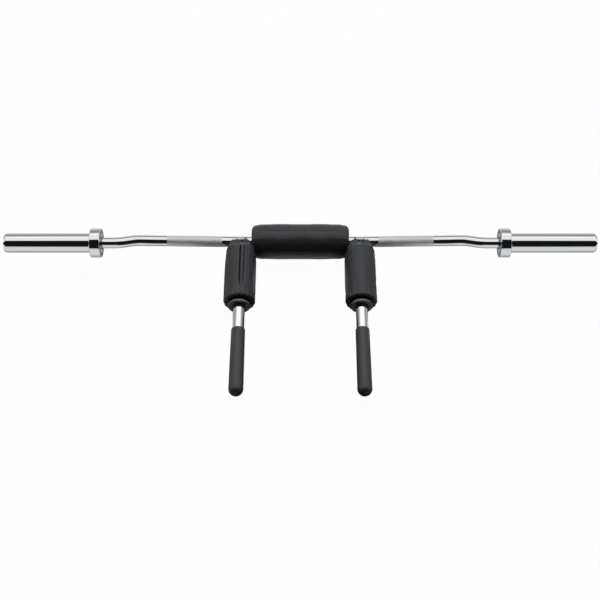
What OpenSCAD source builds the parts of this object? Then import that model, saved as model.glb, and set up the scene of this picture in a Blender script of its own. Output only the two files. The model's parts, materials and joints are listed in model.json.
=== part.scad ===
// Safety squat bar: a cambered chrome bar with turning sleeves, two welded handles and three pads.
// It lies on its pads, as set down on a floor. X runs along the bar, the handles point to -Y and
// Z is up. The origin is on the floor, under the middle of the bar's outline seen from above.
// Lengths are in millimetres. "Along a handle" is counted from the shaft's centreline.

/* [Bar] */
// Overall length from sleeve end to sleeve end
bar_length = 1524; // [1510:1:1560]
// Diameter of the solid shaft between the sleeves
shaft_d = 28; // [27:0.5:29]
// Middle of the bar to the inner face of a collar
collar_face_x = 513; // [505:0.5:516]
// Middle of the bar to the bend between the yoke and an arm
yoke_bend_x = 186; // [184:1:192]
// Middle of the bar to the inner bend of a crank
crank_in_x = 427; // [412:1:430]
// Middle of the bar to the outer bend of a crank
crank_out_x = 470; // [466:1:474]
// How far an arm runs forward of the yoke
arm_forward = 20.5; // [10:0.1:25]
// How far an arm climbs above the yoke
arm_rise = 30.1; // [20:0.1:35]
// How far a crank runs forward beyond its arm
crank_forward = 13.8; // [8:0.1:18]
// How far a crank climbs beyond its arm
crank_rise = 6.7; // [4:0.1:12]
// Bend radius between the yoke and an arm
yoke_bend_r = 150; // [120:1:170]
// Bend radius in the cranks
crank_bend_r = 90; // [60:1:110]

/* [Sleeves] */
// Outer diameter of a sleeve, which takes plates with a 50 mm hole
sleeve_d = 50; // [49.5:0.1:50.5]
// Diameter of a collar
collar_d = 75; // [70:1:80]
// Width of a collar
collar_w = 27.5; // [20:0.5:30]
// Diameter of the shaft's turned journal inside a sleeve
journal_d = 25; // [24:0.5:25.5]
// Length of the bevel at a sleeve's outer end
sleeve_bevel = 5; // [3:0.5:6]
// Radial clearance between a bush and the journal
bush_clearance = 0.05; // [0.02:0.01:0.09]

/* [Handles] */
// Distance between the two handle centrelines
handle_spacing = 309; // [306:1:314]
// Outer diameter of a handle tube
handle_d = 30; // [29:0.5:31]
// Wall of a handle tube
handle_wall = 2.5; // [2:0.5:3]
// Where a handle tube ends, along the handle
handle_end = 455; // [450:1:457]

/* [Pads] */
// Length of the middle pad
centre_pad_l = 254; // [248:1:256]
// Diameter of the middle pad at its crown
centre_pad_d = 90; // [86:1:94]
// Diameter of a side pad
side_pad_d = 80; // [76:1:82]
// Where a side pad's drawn-in top starts, along the handle
side_pad_start = 5; // [4:1:7]
// Where a side pad ends, along the handle
side_pad_end = 196; // [185:1:198]
// Thickness of the vinyl covers
cover_t = 1.5; // [1:0.1:2]
// How far the middle pad swells towards its middle
crown = 0.8; // [0.2:0.1:1.5]
// How deep the soft pads are pressed flat by the floor
floor_dent = 0.5; // [0.3:0.1:1]
// Where the middle pad closes, counted round the bar from straight up towards the back
centre_seam_turn = 1; // [0:1:30]
// Where the left pad closes, counted round the handle from straight up towards the middle
left_seam_turn = 4; // [0:1:12]
// Where the right pad closes, counted round the handle from straight up towards the outside
right_seam_turn = 125; // [100:1:140]

/* [Grips] */
// Where a grip starts, along the handle
grip_start = 276; // [270:1:285]
// Where a grip's round end stops, along the handle
grip_end = 465; // [463:1:470]
// Diameter of a grip at its open end
grip_d_open = 34.7; // [34:0.1:36]
// Diameter of a grip at its closed end
grip_d_closed = 36.2; // [35:0.1:38]

/* [Hidden] */
$fn = 64;

// How many straight pieces stand for a rounded edge or a crown in a turned outline
round_steps = 6;
dome_steps = 10;

// Colours
chrome = [0.80, 0.82, 0.84];
steel = [0.55, 0.56, 0.58];
bronze = [0.72, 0.53, 0.28];
vinyl = [0.17, 0.175, 0.18];
foam = [0.36, 0.36, 0.38];
tape = [0.08, 0.08, 0.085];
grip_black = [0.27, 0.28, 0.285];

// Bends stand this much proud of the straight runs, as cold bending leaves them
bend_swell = 0.1;
// How far a straight run reaches into a bend, which makes the two one solid
bend_lap = 1;

// Sleeve, measured outwards from the collar's inner face
bush_wall = 2.5;
bush_d = journal_d + 2 * bush_wall;
bush_flange_d = bush_d + 4;
bush_flange_t = 2;
inner_bush_l = 35;
outer_bush_l = 36;
collar_seat_step = 1;
collar_edge = 1.6;
sleeve_relief_d = 27;
retainer_bore_d = 38;
retainer_bore_l = 26;
running_gap = 0.2;
washer_t = 2;
washer_d = 36;
ring_t = 2;
ring_grip_d = journal_d - 2;
ring_d = 29.6;
ring_opening = 50;
ring_lug_d = 4;
journal_past_ring = 6;
journal_chamfer = 1.5;
cap_t = 3;
cap_skirt = 8;
cap_recess = 1;
sleeve_end_x = bar_length / 2;
outer_bush_end_x = sleeve_end_x - retainer_bore_l;
washer_x = outer_bush_end_x + running_gap / 2;
ring_x = washer_x + washer_t + running_gap;
journal_start_x = collar_face_x - bush_flange_t - running_gap;
journal_end_x = ring_x + ring_t + journal_past_ring;

// Handle tube, weld and side pad, measured along the handle
tube_start = 1;
weld_leg = 4;
weld_start = -2;
weld_cone = 22;
foam_start = 19.5;
shaft_clearance = 0.5;
cuff_d = 47;
cuff_mouth_d = 41;
cuff_end = 8;
shoulder_d = 70;
shoulder_end = 26;
full_width_start = 39;
turn_start = 233;
side_pad_edge_r = 5;
stop_ring_d = 56;
stop_ring_l = 13;
stop_ring_root_d = 46;
stop_ring_dish = 6;
stop_ring_rim = 2;
stop_ring_recess = 3;

// Middle pad
centre_pad_edge_r = 16;
centre_pad_dimple = 3;
end_channel_in = 22;
end_channel_r = 1;
pad_gap = 0.4;

// Closing seams of the covers
slit_w = 1.6;
flap_w = 9;
flap_t = 1;
tape_w = 24;
tape_t = 2;
foam_slit_w = 1;
tape_cut = 0.5;
seam_end_gap = 20;
seam_inset = 1.5;

// Grips
grip_edge_r = 1.2;
grip_cap_gap = 1;

// The yoke's height: the middle pad's radius, less what the floor presses flat
yoke_z = centre_pad_d / 2 - floor_dent;
// The handles slope so that the side pads are pressed flat by the same amount
pad_contact = side_pad_end - side_pad_edge_r;
handle_slope = asin((centre_pad_d - side_pad_d) / 2 / pad_contact);
// The yoke lies behind the origin by half of what the handles and the middle pad span
handle_reach = (grip_end - grip_d_closed / 2) * cos(handle_slope) + grip_d_closed / 2;
yoke_y = (handle_reach - centre_pad_d / 2) / 2;

// Corners of the shaft's centreline on the right half
along_x = [1, 0, 0];
yoke_corner = [yoke_bend_x, yoke_y, yoke_z];
crank_in = [crank_in_x, yoke_y - arm_forward, yoke_z + arm_rise];
crank_out = [crank_out_x, crank_in[1] - crank_forward, crank_in[2] + crank_rise];
sleeve_axis = [0, crank_out[1], crank_out[2]];
arm_dir = unit(crank_in - yoke_corner);
crank_dir = unit(crank_out - crank_in);

function unit(v) = v / norm(v);

// Length that a bend takes from each of the two straight runs that it joins
function bend_setback(a, b, r) = r * tan(acos(a * b) / 2);

// Points of an arc in a turned outline, from one angle to another
function arc_points(centre, r, from, to, steps) =
    [for (i = [0:steps])
        let (a = from + (to - from) * i / steps)
            [centre[0] + r * cos(a), centre[1] + r * sin(a)]];

// Straight round bar between two points
module straight_run(from, to, d) {
    run = to - from;
    translate(from)
        rotate([0, acos(run[2] / norm(run)), atan2(run[1], run[0])])
            cylinder(d = d, h = norm(run));
}

// Round bar bent about a corner, from one direction to another
module bend(corner, from_dir, to_dir, r, d) {
    turn = acos(from_dir * to_dir);
    inward = unit(to_dir - from_dir * (from_dir * to_dir));
    hinge = cross(from_dir, inward);
    centre = corner - from_dir * bend_setback(from_dir, to_dir, r) + inward * r;
    multmatrix([
        [-inward[0], from_dir[0], hinge[0], centre[0]],
        [-inward[1], from_dir[1], hinge[1], centre[1]],
        [-inward[2], from_dir[2], hinge[2], centre[2]],
        [0, 0, 0, 1]])
        rotate_extrude(angle = turn)
            translate([r, 0])
                circle(d = d);
}

// Places a turned shape, drawn along +Z, on the right sleeve's axis with its origin at x
module on_sleeve_axis(x) {
    translate([x, sleeve_axis[1], sleeve_axis[2]])
        rotate([0, 90, 0])
            children();
}

// Places a shape, drawn with +Z along the handle and +Y up, on the handle at one side
module on_handle(side) {
    translate([side * handle_spacing / 2, yoke_y, yoke_z])
        rotate([90 + handle_slope, 0, 0])
            children();
}

// Places a shape, drawn along +Z and centred, on the yoke, with +Y turned back from straight up
module on_yoke() {
    translate([0, yoke_y, yoke_z])
        rotate([90 - centre_seam_turn, 0, 0])
            rotate([0, 90, 0])
                children();
}

// Draws the right-hand piece, or its mirror image on the left
module sided(side) {
    mirror([side < 0 ? 1 : 0, 0, 0])
        children();
}

// A block under the floor, which cuts the pads flat where they rest
module floor_block() {
    translate([-bar_length / 2, -bar_length / 2, -centre_pad_d])
        cube([bar_length, bar_length, centre_pad_d]);
}

// A round bar along the yoke, as drawn on a handle
module across_handle(d, length) {
    rotate([0, 90, 0])
        cylinder(d = d, h = length, center = true);
}

// Turned journal with its groove for the snap ring and a chamfered end
module journal() {
    r = journal_d / 2;
    groove_from = ring_x - running_gap / 2;
    groove_to = ring_x + ring_t + running_gap / 2;
    on_sleeve_axis(0)
        rotate_extrude()
            polygon([
                [0, journal_start_x - bend_lap],
                [r, journal_start_x - bend_lap],
                [r, groove_from],
                [ring_grip_d / 2, groove_from],
                [ring_grip_d / 2, groove_to],
                [r, groove_to],
                [r, journal_end_x - journal_chamfer],
                [r - journal_chamfer, journal_end_x],
                [0, journal_end_x]]);
}

// Right half of the shaft beyond the yoke: bend, arm, crank, stub and journal
module shaft_arm() {
    bend_d = shaft_d + bend_swell;
    yoke_back = bend_setback(along_x, arm_dir, yoke_bend_r) - bend_lap;
    in_back = bend_setback(arm_dir, crank_dir, crank_bend_r) - bend_lap;
    out_back = bend_setback(crank_dir, along_x, crank_bend_r) - bend_lap;
    stub_end = [journal_start_x, crank_out[1], crank_out[2]];
    bend(yoke_corner, along_x, arm_dir, yoke_bend_r, bend_d);
    straight_run(yoke_corner + arm_dir * yoke_back, crank_in - arm_dir * in_back, shaft_d);
    bend(crank_in, arm_dir, crank_dir, crank_bend_r, bend_d);
    straight_run(crank_in + crank_dir * in_back, crank_out - crank_dir * out_back, shaft_d);
    bend(crank_out, crank_dir, along_x, crank_bend_r, bend_d);
    straight_run(crank_out + along_x * out_back, stub_end, shaft_d);
    journal();
}

// One solid bar, cranked near both sleeves
module shaft() {
    yoke_end = yoke_corner - along_x * (bend_setback(along_x, arm_dir, yoke_bend_r) - bend_lap);
    color(chrome) {
        straight_run([-yoke_end[0], yoke_end[1], yoke_end[2]], yoke_end, shaft_d);
        shaft_arm();
        sided(-1)
            shaft_arm();
    }
}

// Handle tube, notched to sit on the shaft
module handle_tube(side) {
    color(chrome)
        on_handle(side)
            difference() {
                translate([0, 0, tube_start])
                    cylinder(d = handle_d, h = handle_end - tube_start);
                cylinder(d = handle_d - 2 * handle_wall, h = handle_end + 1);
                across_handle(shaft_d, 2 * handle_d);
            }
}

// Saddle-shaped weld between a handle tube and the shaft
module weld_bead(side) {
    color(steel)
        on_handle(side)
            difference() {
                intersection() {
                    across_handle(shaft_d + 2 * weld_leg, 2 * handle_d);
                    translate([0, 0, weld_start])
                        cylinder(r1 = handle_d / 2 + weld_leg + 1, r2 = handle_d / 2, h = weld_cone);
                }
                across_handle(shaft_d, 3 * handle_d);
                translate([0, 0, 2 * weld_start])
                    cylinder(d = handle_d, h = 2 * weld_cone);
            }
}

// Outline of the middle pad, drawn in by an inset; rounded edges, crown and dimpled ends
function centre_outline(inset) =
    let (
        half = centre_pad_l / 2,
        flank = centre_pad_d / 2 - crown,
        edge_y = half - centre_pad_edge_r,
        edge_x = flank - centre_pad_edge_r,
        edge_r = centre_pad_edge_r - inset,
        dimple_x = edge_x - 4)
    concat(
        [[0, inset + centre_pad_dimple - half], [dimple_x / 2, inset + centre_pad_dimple - half]],
        arc_points([edge_x, -edge_y], edge_r, -90, 0, round_steps),
        [for (i = [1:round_steps - 1])
            let (y = edge_y * (2 * i / round_steps - 1))
                [flank - inset + crown * (1 - pow(y / edge_y, 2)), y]],
        arc_points([edge_x, edge_y], edge_r, 0, 90, round_steps),
        [[dimple_x / 2, half - centre_pad_dimple - inset], [0, half - centre_pad_dimple - inset]]);

module centre_pad_form(inset) {
    rotate_extrude()
        polygon(centre_outline(inset));
}

// The middle pad's form as met by a side pad, drawn on a handle
module centre_pad_beside(side, gap) {
    translate([-side * handle_spacing / 2, 0, 0])
        rotate([0, 90, 0])
            centre_pad_form(-gap);
}

// Outline of a side pad, drawn in by an inset: a gathered cuff, a sloping shoulder, a full body
function side_outline(inset, start) =
    let (
        r = side_pad_d / 2 - inset,
        edge_x = side_pad_d / 2 - side_pad_edge_r,
        edge_y = side_pad_end - side_pad_edge_r)
    concat(
        [[0, start], [cuff_d / 2 - 1.5 - inset, start]],
        start < cuff_end ?
            [[cuff_d / 2 - inset, start + 1], [cuff_d / 2 + 1.5 - inset, cuff_end + inset]] :
            [],
        start < foam_start ? [] : [[cuff_d / 2 + 6 - inset, start]],
        [[shoulder_d / 2 - 2 - inset, shoulder_end - 4],
            [shoulder_d / 2 - inset, shoulder_end],
            [r, full_width_start]],
        arc_points([edge_x, edge_y], side_pad_edge_r - inset, 0, 90, round_steps),
        [[0, side_pad_end - inset]]);

// The turned form starts and ends its turn at a place clear of seams, dents and the floor
module side_pad_form(inset, start) {
    rotate([0, 0, turn_start])
        rotate_extrude()
            polygon(side_outline(inset, start));
}

// A flat-sided block along a pad, standing out from its axis towards +Y
module seam_block(from, to, x_from, x_to) {
    translate([x_from, 0, from])
        cube([x_to - x_from, centre_pad_d, to - from]);
}

// Turns a side pad's seam round the handle, from straight up towards the middle of the bar
module side_seam(side) {
    turn = side < 0 ? left_seam_turn : right_seam_turn;
    rotate([0, 0, -turn])
        children();
}

module centre_pad_foam() {
    half = centre_pad_l / 2;
    color(foam)
        on_yoke()
            difference() {
                centre_pad_form(cover_t);
                cylinder(d = shaft_d, h = 2 * centre_pad_l, center = true);
                seam_block(-half, half, -foam_slit_w / 2, foam_slit_w / 2);
                centre_tape();
            }
}

// The band of hook and loop tape under the middle pad's seam
module centre_tape() {
    half = centre_pad_l / 2 - seam_end_gap;
    intersection() {
        difference() {
            centre_pad_form(cover_t);
            centre_pad_form(cover_t + tape_t);
        }
        seam_block(-half, half, -tape_w / 2, tape_w / 2);
    }
}

module centre_pad_closure() {
    color(tape)
        on_yoke()
            centre_tape();
}

// Vinyl cover of the middle pad, with its closing slit, flap and stitched channels at both ends
module centre_pad_cover() {
    half = centre_pad_l / 2 - seam_end_gap;
    channel_y = centre_pad_l / 2 - end_channel_in;
    color(vinyl)
        difference() {
            on_yoke()
                difference() {
                    union() {
                        centre_pad_form(0);
                        intersection() {
                            centre_pad_form(-flap_t);
                            seam_block(-half, half, slit_w / 2, slit_w / 2 + flap_w);
                        }
                    }
                    centre_pad_form(cover_t);
                    cylinder(d = shaft_d, h = 2 * centre_pad_l, center = true);
                    seam_block(-half, half, -slit_w / 2, slit_w / 2);
                    for (end = [-1, 1])
                        rotate_extrude()
                            translate([centre_pad_d / 2 - crown / 2, end * channel_y])
                                circle(r = end_channel_r);
                }
            floor_block();
        }
}

// The band of hook and loop tape under a side pad's seam
module side_tape(side, proud = 0) {
    side_seam(side)
        intersection() {
            difference() {
                side_pad_form(cover_t - proud, foam_start);
                side_pad_form(cover_t + tape_t, foam_start);
            }
            seam_block(full_width_start + seam_inset, side_pad_end - seam_end_gap,
                -tape_w / 2, tape_w / 2);
        }
}

module side_pad_closure(side) {
    color(tape)
        on_handle(side)
            side_tape(side);
}

module side_pad_foam(side) {
    color(foam)
        on_handle(side)
            difference() {
                side_pad_form(cover_t, foam_start);
                cylinder(d = handle_d, h = 2 * side_pad_end);
                side_tape(side, tape_cut);
                centre_pad_beside(side, pad_gap + cover_t);
            }
}

// Vinyl cover of a side pad: it is drawn in over the weld and dented by the middle pad
module side_pad_cover(side) {
    seam_from = shoulder_end + seam_inset;
    seam_to = side_pad_end - side_pad_edge_r - seam_inset;
    color(vinyl)
        difference() {
            on_handle(side)
                difference() {
                    union() {
                        side_pad_form(0, side_pad_start);
                        side_seam(side)
                            intersection() {
                                side_pad_form(-flap_t, side_pad_start);
                                seam_block(seam_from, seam_to, slit_w / 2, slit_w / 2 + flap_w);
                            }
                    }
                    difference() {
                        side_pad_form(cover_t, foam_start);
                        centre_pad_beside(side, pad_gap + cover_t);
                    }
                    centre_pad_beside(side, pad_gap);
                    cylinder(d = handle_d, h = 2 * side_pad_end);
                    cylinder(d = cuff_mouth_d, h = foam_start + cover_t);
                    across_handle(shaft_d + 2 * shaft_clearance, 2 * side_pad_d);
                    side_seam(side)
                        seam_block(seam_from, seam_to, -slit_w / 2, slit_w / 2);
                }
            floor_block();
        }
}

// Rubber ring, dished towards the grip, that keeps a side pad from sliding down its handle
module pad_stop_ring(side) {
    r = stop_ring_d / 2;
    top = side_pad_end + stop_ring_l;
    recess_r = handle_d / 2 + stop_ring_recess;
    color(grip_black)
        on_handle(side)
            rotate_extrude()
                polygon([
                    [handle_d / 2, side_pad_end],
                    [stop_ring_root_d / 2, side_pad_end],
                    [r, side_pad_end + stop_ring_l / 2],
                    [r, top - 1],
                    [r - 1, top],
                    [r - stop_ring_rim, top],
                    [recess_r + 1.5, top - stop_ring_rim],
                    [recess_r, top - stop_ring_dish],
                    [handle_d / 2, top - stop_ring_dish]]);
}

// Rubber grip with a domed closed end
module grip(side) {
    open_r = grip_d_open / 2;
    closed_r = grip_d_closed / 2;
    dome_y = grip_end - closed_r;
    color(grip_black)
        on_handle(side)
            difference() {
                rotate_extrude()
                    polygon(concat(
                        [[0, grip_start], [open_r - grip_edge_r, grip_start]],
                        [[open_r, grip_start + grip_edge_r]],
                        arc_points([0, dome_y], closed_r, 0, 90, dome_steps)));
                translate([0, 0, grip_start - 1])
                    cylinder(d = handle_d, h = handle_end + grip_cap_gap + 1 - grip_start);
            }
}

// Sleeve: a tube with a seat for its collar, seats for two bushes and a bevelled outer end
module sleeve(side) {
    r = sleeve_d / 2;
    color(chrome)
        sided(side)
            on_sleeve_axis(0)
                rotate_extrude()
                    polygon([
                        [bush_d / 2, collar_face_x],
                        [r - collar_seat_step, collar_face_x],
                        [r - collar_seat_step, collar_face_x + collar_w],
                        [r, collar_face_x + collar_w],
                        [r, sleeve_end_x - sleeve_bevel],
                        [r - sleeve_bevel / 2, sleeve_end_x],
                        [retainer_bore_d / 2, sleeve_end_x],
                        [retainer_bore_d / 2, outer_bush_end_x],
                        [bush_d / 2, outer_bush_end_x],
                        [bush_d / 2, outer_bush_end_x - outer_bush_l],
                        [sleeve_relief_d / 2, outer_bush_end_x - outer_bush_l],
                        [sleeve_relief_d / 2, collar_face_x + inner_bush_l],
                        [bush_d / 2, collar_face_x + inner_bush_l]]);
}

// Collar pressed on the sleeve, with bevelled edges; plates stop against it
module collar(side) {
    r = collar_d / 2;
    color(chrome)
        sided(side)
            on_sleeve_axis(collar_face_x)
                rotate_extrude()
                    polygon([
                        [sleeve_d / 2 - collar_seat_step, 0],
                        [r - collar_edge, 0],
                        [r, collar_edge],
                        [r, collar_w - collar_edge],
                        [r - collar_edge, collar_w],
                        [sleeve_d / 2 - collar_seat_step, collar_w]]);
}

// Flanged bush, whose flange runs against the shaft's shoulder
module inner_bush(side) {
    bore_r = journal_d / 2 + bush_clearance;
    color(bronze)
        sided(side)
            on_sleeve_axis(collar_face_x)
                rotate_extrude()
                    polygon([
                        [bore_r, -bush_flange_t],
                        [bush_flange_d / 2, -bush_flange_t],
                        [bush_flange_d / 2, 0],
                        [bush_d / 2, 0],
                        [bush_d / 2, inner_bush_l],
                        [bore_r, inner_bush_l]]);
}

module outer_bush(side) {
    color(bronze)
        sided(side)
            on_sleeve_axis(outer_bush_end_x - outer_bush_l)
                difference() {
                    cylinder(d = bush_d, h = outer_bush_l);
                    translate([0, 0, -1])
                        cylinder(d = journal_d + 2 * bush_clearance, h = outer_bush_l + 2);
                }
}

// Hardened washer between the outer bush and the snap ring
module thrust_washer(side) {
    color(steel)
        sided(side)
            on_sleeve_axis(outer_bush_end_x)
                difference() {
                    cylinder(d = washer_d, h = washer_t);
                    translate([0, 0, -1])
                        cylinder(d = journal_d + 4 * bush_clearance, h = washer_t + 2);
                }
}

// Open spring ring with two lugs, seated in the journal's groove
module snap_ring(side) {
    mid_r = (ring_grip_d + ring_d) / 4;
    color(steel)
        sided(side)
            on_sleeve_axis(ring_x)
                union() {
                    rotate([0, 0, ring_opening / 2])
                        rotate_extrude(angle = 360 - ring_opening)
                            translate([ring_grip_d / 2, 0])
                                square([(ring_d - ring_grip_d) / 2, ring_t]);
                    for (lug = [-1, 1])
                        rotate([0, 0, lug * ring_opening / 2])
                            translate([mid_r + 1, 0, 0])
                                difference() {
                                    cylinder(d = ring_lug_d, h = ring_t);
                                    translate([0, 0, -1])
                                        cylinder(d = ring_lug_d / 2, h = ring_t + 2);
                                }
                }
}

// Pressed cap that closes the sleeve's outer end
module end_cap(side) {
    r = retainer_bore_d / 2;
    face_x = sleeve_end_x - cap_recess;
    color(chrome)
        sided(side)
            on_sleeve_axis(face_x - cap_skirt)
                rotate_extrude()
                    polygon([
                        [r - cap_t / 2, 0],
                        [r, 0],
                        [r, cap_skirt - 1],
                        [r - 1, cap_skirt],
                        [0, cap_skirt],
                        [0, cap_skirt - cap_t],
                        [r - cap_t / 2, cap_skirt - cap_t]]);
}

shaft();
handle_tube(-1);  // left_handle_tube
handle_tube(1);  // right_handle_tube
weld_bead(-1);  // left_weld_bead
weld_bead(1);  // right_weld_bead
centre_pad_foam();
centre_pad_cover();
centre_pad_closure();
side_pad_foam(-1);  // left_pad_foam
side_pad_cover(-1);  // left_pad_cover
side_pad_closure(-1);  // left_pad_closure
pad_stop_ring(-1);  // left_pad_stop_ring
side_pad_foam(1);  // right_pad_foam
side_pad_cover(1);  // right_pad_cover
side_pad_closure(1);  // right_pad_closure
pad_stop_ring(1);  // right_pad_stop_ring
grip(-1);  // left_grip
grip(1);  // right_grip
snap_ring(-1);  // left_snap_ring
snap_ring(1);  // right_snap_ring
sleeve(-1);  // left_sleeve
collar(-1);  // left_collar
inner_bush(-1);  // left_inner_bush
outer_bush(-1);  // left_outer_bush
thrust_washer(-1);  // left_thrust_washer
end_cap(-1);  // left_end_cap
sleeve(1);  // right_sleeve
collar(1);  // right_collar
inner_bush(1);  // right_inner_bush
outer_bush(1);  // right_outer_bush
thrust_washer(1);  // right_thrust_washer
end_cap(1);  // right_end_cap
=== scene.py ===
"""Safety squat bar: modelled covers, grips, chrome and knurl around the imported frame.

Lengths are in metres and places are in the frame's own axes: X runs along the bar, the handles
point to -Y and Z is up. A place "along a handle" is counted from the shaft's centreline.
"""

import json
import math
import random

import bmesh
import bpy
from mathutils import Matrix, Vector
from mathutils.kdtree import KDTree


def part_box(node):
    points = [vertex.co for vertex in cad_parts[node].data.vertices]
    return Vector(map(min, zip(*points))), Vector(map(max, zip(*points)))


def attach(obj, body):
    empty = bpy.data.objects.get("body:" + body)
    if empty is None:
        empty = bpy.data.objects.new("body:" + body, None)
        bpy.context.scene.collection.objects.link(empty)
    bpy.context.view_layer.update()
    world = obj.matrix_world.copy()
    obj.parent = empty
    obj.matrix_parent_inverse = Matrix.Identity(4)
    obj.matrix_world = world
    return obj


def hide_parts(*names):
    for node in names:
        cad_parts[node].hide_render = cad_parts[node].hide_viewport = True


bl_info = {
    "name": "Safety squat bar",
    "version": (1, 0, 0),
    "blender": (4, 5, 0),
    "location": "3D View > Sidebar > Squat bar",
    "description": "Builds the finished bar around its packed frame",
    "category": "Object",
}

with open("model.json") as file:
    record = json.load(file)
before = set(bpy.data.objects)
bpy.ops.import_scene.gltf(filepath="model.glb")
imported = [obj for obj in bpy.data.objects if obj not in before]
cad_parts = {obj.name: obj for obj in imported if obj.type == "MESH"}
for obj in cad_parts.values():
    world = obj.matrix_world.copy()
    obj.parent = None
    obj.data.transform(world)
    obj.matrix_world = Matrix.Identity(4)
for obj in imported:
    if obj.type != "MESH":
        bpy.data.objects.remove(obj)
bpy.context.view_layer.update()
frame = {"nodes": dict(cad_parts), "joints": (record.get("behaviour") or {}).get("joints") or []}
MM = 0.001

SIDES = {"left": -1, "right": 1}
SPIN = {joint["child"]: Vector(joint["pos_m"]) for joint in frame["joints"]}
SLEEVE_AXIS = SPIN["right_sleeve"]
YOKE_Y = sum(corner.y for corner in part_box("centre_pad_foam")) / 2  # the yoke's centreline

X_AXIS = Vector((1, 0, 0))
Z_AXIS = Vector((0, 0, 1))


def linear(hex_colour):
    """The linear colour of an sRGB hex value."""
    channels = [(hex_colour >> shift & 255) / 255 for shift in (16, 8, 0)]
    return tuple(c / 12.92 if c <= 0.04045 else ((c + 0.055) / 1.055) ** 2.4 for c in channels)


def mm(*lengths):
    """Millimetres turned to metres."""
    return tuple(length * MM for length in lengths)


class BarSizes(bpy.types.PropertyGroup):
    """The steel's sizes and the places of its bends."""

    shaft_r: bpy.props.FloatProperty(
        name="Shaft radius", description="Radius of the solid bar",
        default=14 * MM, unit="LENGTH")
    journal_r: bpy.props.FloatProperty(
        name="Journal radius", description="Radius of the bar's ends inside the sleeves",
        default=12.5 * MM, unit="LENGTH")
    yoke_z: bpy.props.FloatProperty(
        name="Yoke height", description="Height of the yoke's centreline over the floor",
        default=44.5 * MM, unit="LENGTH")
    yoke_bend: bpy.props.FloatProperty(
        name="Yoke bend", description="Middle of the bar to the bend between yoke and arm",
        default=186 * MM, unit="LENGTH")
    crank_in: bpy.props.FloatProperty(
        name="Inner crank bend", description="Middle of the bar to the crank's inner bend",
        default=427 * MM, unit="LENGTH")
    crank_out: bpy.props.FloatProperty(
        name="Outer crank bend", description="Middle of the bar to the crank's outer bend",
        default=470 * MM, unit="LENGTH")
    knurl_from: bpy.props.FloatProperty(
        name="Knurl start", description="Middle of the bar to where a knurled band starts",
        default=205 * MM, unit="LENGTH")
    knurl_to: bpy.props.FloatProperty(
        name="Knurl end", description="Middle of the bar to where a knurled band ends",
        default=348.5 * MM, unit="LENGTH")
    handle_x: bpy.props.FloatProperty(
        name="Handle offset", description="Middle of the bar to a handle's centreline",
        default=154.5 * MM, unit="LENGTH")
    handle_r: bpy.props.FloatProperty(
        name="Handle radius", description="Outer radius of a handle tube",
        default=15 * MM, unit="LENGTH")
    sleeve_r: bpy.props.FloatProperty(
        name="Sleeve radius", description="Radius of a sleeve",
        default=25 * MM, unit="LENGTH")
    collar_r: bpy.props.FloatProperty(
        name="Collar radius", description="Radius of a collar",
        default=37.5 * MM, unit="LENGTH")


class PadSizes(bpy.types.PropertyGroup):
    """Sizes of the padding and of its covers."""

    centre_r: bpy.props.FloatProperty(
        name="Middle pad radius", description="Radius of the middle pad at its crown",
        default=45 * MM, unit="LENGTH")
    centre_half: bpy.props.FloatProperty(
        name="Middle pad half length", description="Half the length of the middle pad",
        default=127 * MM, unit="LENGTH")
    side_r: bpy.props.FloatProperty(
        name="Side pad radius", description="Radius of a side pad",
        default=40 * MM, unit="LENGTH")
    side_from: bpy.props.FloatProperty(
        name="Side pad start", description="Where a side pad's drawn-in top starts on its handle",
        default=5 * MM, unit="LENGTH")
    side_to: bpy.props.FloatProperty(
        name="Side pad end", description="Where a side pad ends on its handle",
        default=196 * MM, unit="LENGTH")
    flap: bpy.props.FloatProperty(
        name="Flap", description="Width of a cover's overlapping closing flap",
        default=24 * MM, unit="LENGTH")
    sheet: bpy.props.FloatProperty(
        name="Vinyl thickness", description="Thickness of the covers' vinyl",
        default=1.2 * MM, unit="LENGTH")


class BarColours(bpy.types.PropertyGroup):
    """Colours of the finishes."""

    chrome: bpy.props.FloatVectorProperty(
        name="Chrome", description="Colour of the plated steel",
        default=linear(0xE9EBED), subtype="COLOR")
    vinyl: bpy.props.FloatVectorProperty(
        name="Vinyl", description="Colour of the pad covers",
        default=linear(0x17181A), subtype="COLOR")
    grip: bpy.props.FloatVectorProperty(
        name="Grip", description="Colour of the rubber grips",
        default=linear(0x1E2022), subtype="COLOR")
    ring: bpy.props.FloatVectorProperty(
        name="Stop ring", description="Colour of the rubber rings under the side pads",
        default=linear(0x434446), subtype="COLOR")
    floor: bpy.props.FloatVectorProperty(
        name="Floor", description="Colour of the floor",
        default=linear(0x808080), subtype="COLOR")


# Places that several pieces share

def sizes():
    """The steel's settings."""
    return bpy.context.scene.squat_bar_sizes


def pads():
    """The padding's settings."""
    return bpy.context.scene.squat_bar_pads


def colours():
    """The finishes' settings."""
    return bpy.context.scene.squat_bar_colours


def handle_slope():
    """Angle at which a handle runs down, which presses both kinds of pad alike on the floor."""
    edge = 5 * MM
    return math.asin((pads().centre_r - pads().side_r) / (pads().side_to - edge))


def on_handle(side):
    """The frame of a handle: Z runs down the handle, Y points up and X along the bar."""
    place = Vector((side * sizes().handle_x, YOKE_Y, sizes().yoke_z))
    return Matrix.Translation(place) @ Matrix.Rotation(math.pi / 2 + handle_slope(), 4, "X")


def on_yoke(turn):
    """The frame of the yoke: Z runs along the bar, Y points up, turned back by an angle."""
    place = Vector((0, YOKE_Y, sizes().yoke_z))
    tilt = Matrix.Rotation(math.pi / 2 - turn, 4, "X")
    return Matrix.Translation(place) @ tilt @ Matrix.Rotation(math.pi / 2, 4, "Y")


def on_sleeve(side):
    """The frame of a sleeve: Z runs outwards along its axis."""
    place = Vector((0, SLEEVE_AXIS.y, SLEEVE_AXIS.z))
    return Matrix.Translation(place) @ Matrix.Rotation(side * math.pi / 2, 4, "Y")


# Mesh helpers

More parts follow.
